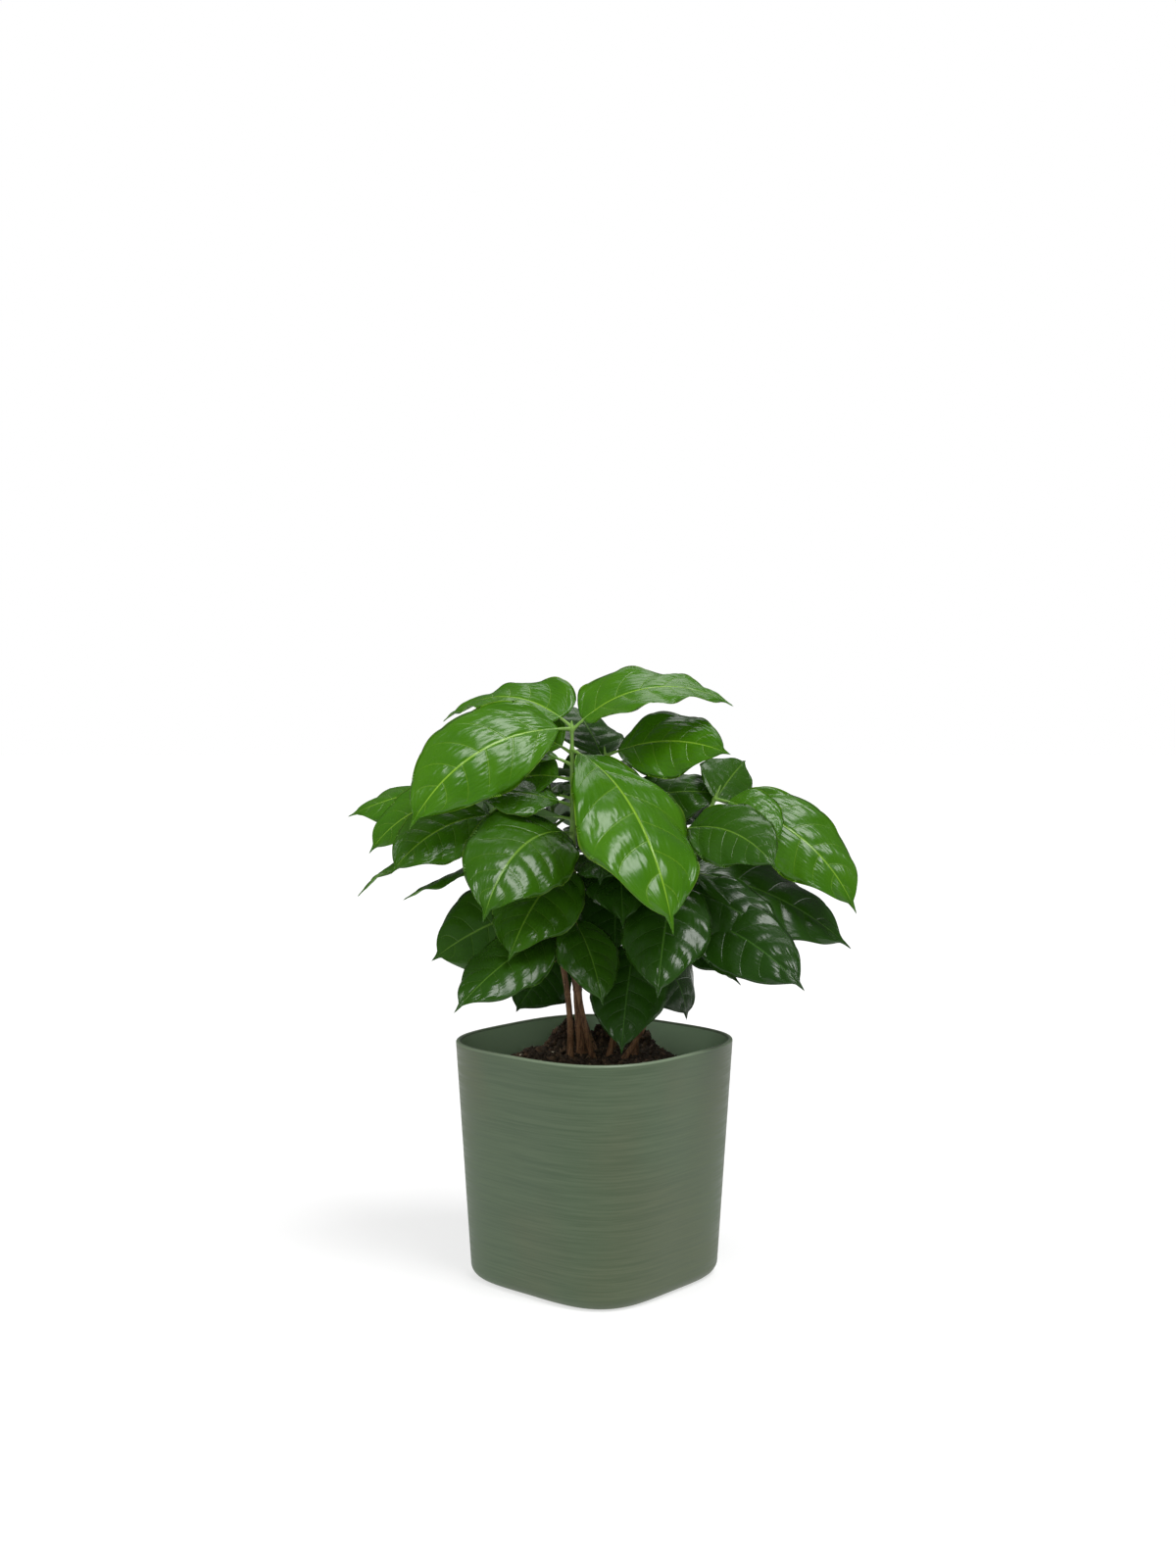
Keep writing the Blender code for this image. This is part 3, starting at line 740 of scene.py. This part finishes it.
def midrib(leaf, root, steps):
    """s, points, tangents and sideways vectors along the midrib, each over steps + 1 rows."""
    rise, arch, az = (math.radians(v) for v in (leaf.rise, leaf.arch, leaf.az))
    roll, twist = math.radians(leaf.roll), math.radians(leaf.twist)
    level_side = np.array([-math.sin(az), math.cos(az), 0])

    def direction(s):
        pitch, turned = (rise - arch * s)[:, None], (roll + twist * s)[:, None]
        level = np.cos(pitch)
        tangent = np.hstack([math.cos(az) * level, math.sin(az) * level, np.sin(pitch)])
        return tangent, level_side * np.cos(turned) + np.cross(tangent, level_side) * np.sin(turned)

    s = np.linspace(0, 1, steps + 1)
    start = root + direction(s[:1])[0] * PETIOLE
    strides = direction((s[1:] + s[:-1]) / 2)[0] * (leaf.long * MM / steps)
    points = np.vstack([start, start + np.cumsum(strides, 0)])
    return s, points, *direction(s)


# %% [markdown]
# Most leaves are listed, but a crown that is full from all sides has more.  The rule that adds
# them is the same one that built the solids: draw a leaf at random, keep it where it stays in the
# crown's space, and drop it where a plain eight-station copy of it, a little fattened, would touch
# a leaf, shoot or stem that is already there.  The draws are seeded, so the plant is always the same.

# %% The rule that fills the crown
SOLID_STATIONS = np.array((0.03, 0.14, 0.28, 0.43, 0.58, 0.72, 0.84, 0.93))
SOLID_ACROSS = np.array((1.0, 0.5, 0.0, -0.5, -1.0))
SOLID_STEM_SIDES = 8
SOLID_STEM_RINGS = 5
STEM_RING_BIAS = 1.6
SHOOT_SHARES = np.array((0.0, 0.35, 0.7, 0.97))
PETIOLE_SHARES = (0.0, 0.8)
FILL_SEED = 50
FILL_CLEARANCE = 1 * MM
FILL_TRIES = 90
FILL_RISE = (-20, 5)
FILL_RISE_GAIN = 35
FILL_ARCH = (35, 80)
FILL_LONG = (42, 92)
FILL_SLENDER = (0.48, 0.62)
FILL_ROLL = (-30, 30)
RIM_CLEARANCE = 6 * MM
SPACE_CENTRE = np.array((0, 0, 215)) * MM
SPACE_REACH = np.array((106, 104, 100)) * MM


def search_tree(rings, start, end):
    """A tree for touch tests of rings closed by a point at each end."""
    shape = Shape()
    shape.add_rings(rings, start, end)
    triangles = [(f[0], f[1], f[2]) for f in shape.faces]
    triangles += [(f[0], f[2], f[3]) for f in shape.faces if len(f) == 4]
    return BVHTree.FromPolygons(np.concatenate(shape.points).tolist(), triangles)


def stem_tree(seedling):
    """The touch tree of the plain eight-sided stem, its rings closer together at the foot."""
    low, high = SOIL_LEVEL + STEM_GAP, seedling.tip[2] * MM - STEM_GAP
    heights = low + (high - low) * (np.arange(SOLID_STEM_RINGS + 1) / SOLID_STEM_RINGS) ** STEM_RING_BIAS
    rings = level_rings(stem_line(seedling, heights), stem_radius(seedling, heights), SOLID_STEM_SIDES)
    return search_tree(rings, rings[0].mean(0), rings[-1].mean(0))


def shoot_tree(seedling):
    """The touch tree of the plain eight-sided shoot, pointed by its bud."""
    low, high = seedling.tip[2] * MM, seedling.top[2] * MM
    radii = seedling.thick[1] * MM / 2 * (1 - SHOOT_TAPER * SHOOT_SHARES)
    rings = level_rings(stem_line(seedling, low + (high - low) * SHOOT_SHARES), radii, SOLID_STEM_SIDES)
    return search_tree(rings, rings[0].mean(0), stem_line(seedling, high) + (0, 0, BUD))


def leaf_trees(leaf, root, clearance=0.0):
    """Trees of the whole leaf and of its blade alone, both fattened by the clearance."""
    _, points, tangents, sides = midrib(leaf, root, PATH_STEPS)
    place = SOLID_STATIONS * PATH_STEPS
    low = place.astype(int)
    middle = points[low] + (points[low + 1] - points[low]) * (place - low)[:, None]
    side = sides[np.round(place).astype(int)]
    up = np.cross(tangents[np.round(place).astype(int)], side)
    half = leaf.wide * MM / 2
    thick = max(LEAF_THICK_MIN, LEAF_THICK * leaf.long * MM) / 2 + clearance
    reach = half * blade_share(SOLID_STATIONS, leaf.belly) + clearance
    across = reach[:, None] * SOLID_ACROSS
    lift = cup_at(SOLID_STATIONS, leaf.cup)[:, None] * across ** 2 / half
    edge = thick * (1 - SOLID_ACROSS ** 2)
    base = middle[:, None] + side[:, None] * across[..., None]
    upper = base + up[:, None] * (lift + edge)[..., None]
    lower = base + up[:, None] * (lift - edge)[..., None]
    blade = np.concatenate([upper, lower[:, -2:0:-1]], 1)
    angle = math.pi * np.arange(8) / 4
    wide = PETIOLE_RADIUS + clearance
    circle = sides[0] * np.cos(angle)[:, None] + np.cross(tangents[0], sides[0]) * np.sin(angle)[:, None]
    stalk = np.stack([root + (points[0] - root) * share + wide * circle for share in PETIOLE_SHARES])
    tip = points[-1] + tangents[-1] * clearance
    whole = np.concatenate([stalk, blade])
    return search_tree(whole, whole[0].mean(0), tip), search_tree(blade, blade[0].mean(0), tip)


def in_space(leaf, root):
    """True where the midrib stays in the crown's ellipsoid and above the pot's rim."""
    points = midrib(leaf, root, PATH_STEPS)[1]
    away = np.linalg.norm((points - SPACE_CENTRE) / SPACE_REACH, axis=1)
    return away.max() <= 1 and points[:, 2].min() >= POT_HEIGHT + RIM_CLEARANCE


def is_clear(leaf, root, owner, taken):
    """True where the leaf misses what is taken; its own seedling's blades may meet its stalk."""
    whole, blade = leaf_trees(leaf, root, FILL_CLEARANCE)
    for name, old_whole, old_blade in taken:
        if blade.overlap(old_blade) if name == owner else whole.overlap(old_whole):
            return False
    return True


def fill_leaves(seedling, taken, rng):
    """Leaves drawn at random, each in its own stretch of the shoot, and kept where they are clear."""
    fill = seedling.fill
    found = []
    for number in range(fill.count):
        for _ in range(FILL_TRIES):
            share = (number + rng.random()) / fill.count
            long = rng.uniform(*FILL_LONG)
            leaf = Leaf(z=fill.z_from + (fill.z_to - fill.z_from) * share,
                        az=fill.az_from + (fill.az_to - fill.az_from) * rng.random(),
                        rise=rng.uniform(*FILL_RISE) + FILL_RISE_GAIN * share,
                        arch=rng.uniform(*FILL_ARCH), long=long,
                        wide=long * rng.uniform(*FILL_SLENDER), roll=rng.uniform(*FILL_ROLL))
            root = stem_line(seedling, leaf.z * MM)
            if in_space(leaf, root) and is_clear(leaf, root, seedling.name, taken):
                found.append(leaf)
                taken.append((seedling.name, *leaf_trees(leaf, root)))
                break
    return found


def plan_leaves():
    """Every seedling with its leaves: those of its table, then those that the rule adds."""
    taken = []
    for seedling in SEEDLINGS:
        stem = stem_tree(seedling)
        taken.append((seedling.name, stem, stem))
        taken.append((seedling.name, shoot_tree(seedling), stem))
        for leaf in seedling.leaves:
            taken.append((seedling.name, *leaf_trees(leaf, stem_line(seedling, leaf.z * MM))))
    plan = []
    for number, seedling in enumerate(SEEDLINGS):
        added = fill_leaves(seedling, taken, random.Random(FILL_SEED + number))
        plan.append((seedling, list(seedling.leaves) + added))
    return plan


plan = plan_leaves()
print("leaves:", {seedling.name: len(leaves) for seedling, leaves in plan})


# %% [markdown]
# What makes a coffee leaf is its relief.  Side veins leave the midrib in pairs, run forward and
# bend towards the tip, and the blade swells up between them, so each pair frames a soft rib.  The
# count of veins passed is a number, the phase, that grows along the blade and lags towards the
# margin.  Whole phases are veins, and a half sine of the phase between them is the swelling.

# %% Blade relief
VEIN_PAIRS = (6.0, 8.0)
VEIN_LAG = 0.10                   # how far a vein runs forward before the margin, as a share of length
VEIN_BEND = 0.10                  # how much more it runs forward as it bends
VEIN_OFFSET = (0.2, 0.8)          # the two sides' veins aren't opposite
VEIN_DRIFT = 0.012                # the veins aren't quite evenly spaced
PUCKER = 0.011                    # height of the swelling between veins, as a share of length
GROOVE = 0.5 * MM                 # depth of the midrib in the upper face
GROOVE_HALF = 0.9 * MM
KEEL = 0.75 * MM                  # height of the midrib on the lower face
WAVE = 0.020                      # margin's waves, as a share of length
SCALLOP = 0.022                   # the margin's swelling between veins, as a share of half width
SKIN = 0.35 * MM
STATION_STEP = 1.5 * MM
COLUMNS = 26
COLUMN_BIAS = 1.35                # columns lie closer together near the midrib
# painted shade added to the age of each seedling's lower leaves, so that they take the dark old colour;
# below zero it is painted light
SHADE = {"back_left": 0.30, "back_right": 0.35, "front": 0.1, "right_low": 0.25, "right": -0.1}
SHADE_BELOW = 290.0
BACK_SHADE = 0.5                  # leaves that point to the back are painted darker, as painted shade
YOUNG_AT = 300.0
OLD_OVER = 110.0


def vein_phase(s, t, pairs, offset):
    """The number of side veins passed at s along the blade and t across it, from -1 to 1."""
    lag = VEIN_LAG * np.abs(t) + VEIN_BEND * np.abs(t) ** 3
    return pairs * (s - lag + VEIN_DRIFT * np.sin(9 * s + offset)) + offset * (t > 0)


def blade_rings(leaf, root, rng):
    """Rings round the blade, upper face then lower: (rows, 2 * COLUMNS, 3), with s, t and under."""
    rows = max(30, round(leaf.long * MM / STATION_STEP))
    s, points, tangents, sides = midrib(leaf, root, rows)
    s, points, tangents, sides = s[:-1], points[:-1], tangents[:-1], sides[:-1]
    s = np.maximum(s, 0.004)
    even = np.linspace(1, -1, COLUMNS + 1)
    upper_t = np.sign(even) * np.abs(even) ** COLUMN_BIAS
    t = np.concatenate([upper_t, upper_t[-2:0:-1]])[None]
    under = np.concatenate([np.zeros(COLUMNS + 1), np.ones(COLUMNS - 1)])[None]
    s = s[:, None]
    a = np.abs(t)
    size = leaf.long * MM
    pairs = rng.uniform(*VEIN_PAIRS)
    offset = rng.uniform(*VEIN_OFFSET)
    phase = vein_phase(s, t, pairs, offset)
    swell = np.sin(math.pi * (phase % 1)) ** 0.75
    edge_swell = np.sin(math.pi * (vein_phase(s, np.sign(t), pairs, offset) % 1)) ** 0.75
    half = leaf.wide * MM / 2
    reach = half * blade_share(s, leaf.belly) * (1 + SCALLOP * (edge_swell - 0.6))
    across = reach * t
    fade = smooth_step(s, 0.0, 0.10) * smooth_step(1 - s, 0.02, 0.14)
    middle_fade = smooth_step(a, 0.0, 0.22) * (1 - 0.45 * a * a)
    relief = PUCKER * size * rng.uniform(0.8, 1.2) * fade * middle_fade * (swell - 0.55)
    side_phase = rng.uniform(0, 2 * math.pi, 2)[(t > 0).astype(int)]
    relief += WAVE * size * fade * a ** 3 * np.sin(math.pi * phase * rng.uniform(0.7, 1.0) + side_phase)
    groove = np.exp(-(across / GROOVE_HALF) ** 2) * np.clip(1.1 - s, 0, 1)
    relief -= np.where(under > 0, KEEL, GROOVE) * groove * fade
    lift = cup_at(s, leaf.cup) * across ** 2 / half + relief
    skin = SKIN * (1 - a ** 6) * np.where(under > 0, -1, 1)
    up = np.cross(tangents, sides)
    rings = points[:, None] + sides[:, None] * across[..., None] + up[:, None] * (lift + skin)[..., None]
    values = {"s": s, "t": t, "under": under, "phase": phase}
    return rings, points[0], midrib(leaf, root, rows)[1][-1], values


# %% [markdown]
# The finish reads the same phase as the relief, so the thin pale lines of the veins lie in the
# creases.  Young leaves at the top of a shoot are a light yellow green and the old ones below are
# dark; lower leaves of shaded seedlings, and those that point back, are given the old colour too, as
# painted shade.  The lower face is paler and duller.  Between the side veins runs a fine crinkle, with
# the net of the finest veins in patches, which breaks a window's reflection into short bright strokes.

# %% Leaf finish
WAX_IOR = 1.38
VEIN_NET_SCALE = 130.0            # cells of the net of fine veins, in each metre


def leaf_finish():
    finish = Finish("coffee_leaf")
    where = finish.node("UVMap", {"uv_map": "blade"})
    a = abs(finish.node("SeparateXYZ", {}, {"Vector": where}, out=1) * 2.0 - 1.0)
    phase = finish.attribute("phase")
    from_vein = finish.math("PINGPONG", phase, 0.5)
    vein = finish.ramp(from_vein, 0.01, 0.045, 1.0, 0.0) * finish.ramp(a, 0.55, 0.98, 1.0, 0.0)
    rib = finish.ramp(a, 0.010, 0.032, 1.0, 0.0)
    rim = finish.ramp(a, 0.965, 0.99)
    age = finish.attribute("age")
    under = finish.attribute("under")
    mottle = finish.noise(finish.place(), 38.0, detail=3.0)
    fine = finish.noise(finish.place(), 420.0, detail=3.0)
    young = finish.mix(mottle, (0.026, 0.116, 0.001, 1), (0.062, 0.182, 0.003, 1))
    old = finish.mix(mottle, (0.007, 0.030, 0.002, 1), (0.015, 0.054, 0.003, 1))
    # the leaf's age value also carries painted shade: both move the colour towards the dark old green
    blade = finish.mix(age, young, old)
    pale = finish.mix(age, (0.240, 0.440, 0.030, 1), (0.040, 0.112, 0.014, 1))
    lines = finish.math("MAXIMUM", rib * 0.75, finish.math("MAXIMUM", vein * 0.18, rim * 0.45))
    above = finish.mix(lines, blade, pale)
    below = finish.mix(lines, finish.mix(age, (0.130, 0.310, 0.030, 1), (0.050, 0.125, 0.025, 1)),
                       finish.mix(age, (0.330, 0.520, 0.100, 1), (0.160, 0.290, 0.080, 1)))
    finish.set(Base_Color=finish.mix(under, above, below), IOR=WAX_IOR,
               Roughness=finish.ramp(under, 0.0, 1.0, 0.22, 0.48) + fine * 0.08)
    strokes = finish.node("CombineXYZ", {}, {0: phase * 1.8, 1: a * 9.0, 2: age * 9.0})
    wrinkle = finish.noise(strokes, 1.0, detail=1.0, roughness=0.5)
    to_net = finish.node("TexVoronoi", {"feature": "DISTANCE_TO_EDGE"},
                         {"Vector": finish.place(), "Scale": VEIN_NET_SCALE})
    net = finish.ramp(to_net, 0.0, 0.2, 1.0, 0.0) * finish.ramp(mottle, 0.48, 0.66)
    relief = wrinkle * finish.ramp(age, 0.0, 0.8, 1.0, 0.5) - vein * 0.35 - net * 0.07
    finish.bump(relief, distance=1.0 * MM, strength=0.6)
    return finish


coffee_leaf = leaf_finish()


# %% [markdown]
# All blades of one seedling are joined into one piece.  It carries two UV maps.  The one named
# blade is the same for every leaf, along and across, and the finish reads it.  The other gives
# each face of each leaf a square of its own, so that a texture can be baked without overlaps.

# %% Blades
CELL_MARGIN = 0.04
BLADE_SEED = 200
AGE_SPREAD = 0.08                 # leaves of one height differ in age by up to this


def blade_faces_side(rows):
    """0 for each face of the upper side and 1 for the lower, in the order of ring_faces."""
    side = np.zeros((rows - 1, 2 * COLUMNS), int)
    side[:, COLUMNS:] = 1
    return side.ravel()


def add_uv_map(mesh, name, uv):
    """A UV map from one pair for each corner of the mesh."""
    layer = mesh.uv_layers.new(name=name)
    layer.data.foreach_set("uv", uv.astype(np.float32).ravel())


def add_blade_maps(mesh, s, t, cells):
    """The map of s and t, and the map that puts each cell's s and t in a square of its own."""
    corners = np.zeros(len(mesh.loops), np.int32)
    mesh.loops.foreach_get("vertex_index", corners)
    sizes = np.zeros(len(mesh.polygons), np.int32)
    mesh.polygons.foreach_get("loop_total", sizes)
    flat = np.stack([s[corners], (t[corners] + 1) / 2], -1)
    cell = np.repeat(cells, sizes)
    per_row = math.ceil(math.sqrt(cells.max() + 1))
    place = np.stack([cell % per_row, cell // per_row], -1)
    add_uv_map(mesh, "blade", flat)
    add_uv_map(mesh, "OFBake", (place + CELL_MARGIN + (1 - 2 * CELL_MARGIN) * flat) / per_row)


def make_blades(seedling, leaves, number):
    """All blades of one seedling.  A leaf's age grows evenly down the shoot, and lower leaves get painted
    shade added to it, by seedling and where they point back.
    """
    rng = np.random.default_rng(BLADE_SEED + number)
    shape = Shape()
    cells = []
    for order, leaf in enumerate(leaves):
        root = stem_line(seedling, leaf.z * MM)
        rings, start, end, values = blade_rings(leaf, root, rng)
        age = (YOUNG_AT - leaf.z) / OLD_OVER + rng.uniform(-AGE_SPREAD, AGE_SPREAD)
        # painted shade: the age of lower leaves is raised by their seedling's shade and where the leaf
        # points back
        if leaf.z < SHADE_BELOW:
            age += SHADE.get(seedling.name, 0.0) + BACK_SHADE * max(0.0, math.sin(math.radians(leaf.az)))
        shape.add_rings(rings, start, end, age=min(max(age, 0.0), 1.0), **values)
        cap = np.full(2 * COLUMNS, 2 * order)
        cells += [2 * order + blade_faces_side(len(rings)), cap, cap]
    s = np.concatenate(shape.values.pop("s"))
    t = np.concatenate(shape.values.pop("t"))
    made = shape.piece("blades_" + seedling.name, coffee_leaf, ["foliage_" + seedling.name])
    add_blade_maps(made.data, s, t, np.concatenate(cells))
    return made


for number, (seedling, leaves) in enumerate(plan):
    make_blades(seedling, leaves, number)


# %% [markdown]
# A green shoot carries the leaves.  It is brown where it grows on from the bark and turns green
# upwards, with a swollen ring at each leaf and a pointed bud on top.  Each leaf hangs on a short
# stalk that runs on under the blade as its midrib.

# %% Shoots and leaf stalks
SHOOT_SIDES = 18
SHOOT_ROW = 1.0 * MM
NODE_SWELL = 0.30
NODE_REACH = 1.6 * MM
GREEN_FROM = 205 * MM
GREEN_AT = 262 * MM
STALK_SIDES = 12
STALK_ROWS = 10
STALK_UNDER = 5                   # rows of the midrib that the stalk follows under the blade


def add_shoot(shape, seedling, leaves):
    """A tapering tube, its radius raised by a bell curve at each leaf's height."""
    low, high = seedling.tip[2] * MM, seedling.top[2] * MM
    heights = np.arange(low, high + BUD, SHOOT_ROW)
    share = np.clip((heights - low) / (high - low), 0, 1)
    radii = seedling.thick[1] * MM / 2 * (1 - SHOOT_TAPER * share)
    for leaf in leaves:
        radii = radii * (1 + NODE_SWELL * np.exp(-((heights - leaf.z * MM) / NODE_REACH) ** 2))
    radii = radii * np.sqrt(np.clip((high + BUD - heights) / BUD, 0.05, 1))
    rings = level_rings(stem_line(seedling, heights), radii[:, None], SHOOT_SIDES)
    end = stem_line(seedling, high + BUD)
    shape.add_rings(rings, rings[0].mean(0), end, green=smooth_step(heights, GREEN_FROM, GREEN_AT)[:, None])


def add_stalk(shape, leaf, root):
    """A round stalk from the shoot to the blade, then along under the midrib, thinning."""
    _, points, tangents, sides = midrib(leaf, root, PATH_STEPS)
    share = np.linspace(0, 1, STALK_ROWS)[:, None]
    out = root + (points[0] - root) * share
    middles = np.concatenate([out, points[1:STALK_UNDER]])
    rows = len(middles)
    turn = np.concatenate([np.zeros(STALK_ROWS, int), np.arange(1, STALK_UNDER)])
    side, up = sides[turn], np.cross(tangents[turn], sides[turn])
    along = np.linspace(0, 1, rows)
    radii = PETIOLE_RADIUS * (1.15 - 0.55 * along) * (1 + 0.25 * np.exp(-(along / 0.12) ** 2))
    middles = middles - up * (smooth_step(along, 0.5, 1.0) * 0.6 * MM)[:, None]
    angle = np.linspace(0, 2 * math.pi, STALK_SIDES, endpoint=False)
    circle = np.cos(angle)[None, :, None] * side[:, None] + np.sin(angle)[None, :, None] * up[:, None]
    rings = middles[:, None] + radii[:, None, None] * circle
    green = smooth_step(root[2], GREEN_FROM, GREEN_AT) * 0.8 + 0.2
    shape.add_rings(rings, rings[0].mean(0), rings[-1].mean(0), green=green)


def shoot_finish():
    """Green and a little shiny, brown where it is old."""
    finish = Finish("green_shoot")
    streak = finish.noise(finish.place((700, 700, 80)), 1.0, detail=3.0)
    green = finish.mix(streak, (0.090, 0.220, 0.025, 1), (0.230, 0.400, 0.070, 1))
    brown = finish.mix(streak, (0.070, 0.030, 0.012, 1), (0.190, 0.110, 0.045, 1))
    finish.set(Base_Color=finish.mix(finish.attribute("green"), brown, green), Roughness=0.45)
    finish.bump(streak, distance=0.15 * MM, strength=0.5)
    return finish


shoot_skin = shoot_finish()
for seedling, leaves in plan:
    shape = Shape()
    add_shoot(shape, seedling, leaves)
    for leaf in leaves:
        add_stalk(shape, leaf, stem_line(seedling, leaf.z * MM))
    shape.piece("shoot_" + seedling.name, shoot_skin, ["foliage_" + seedling.name])
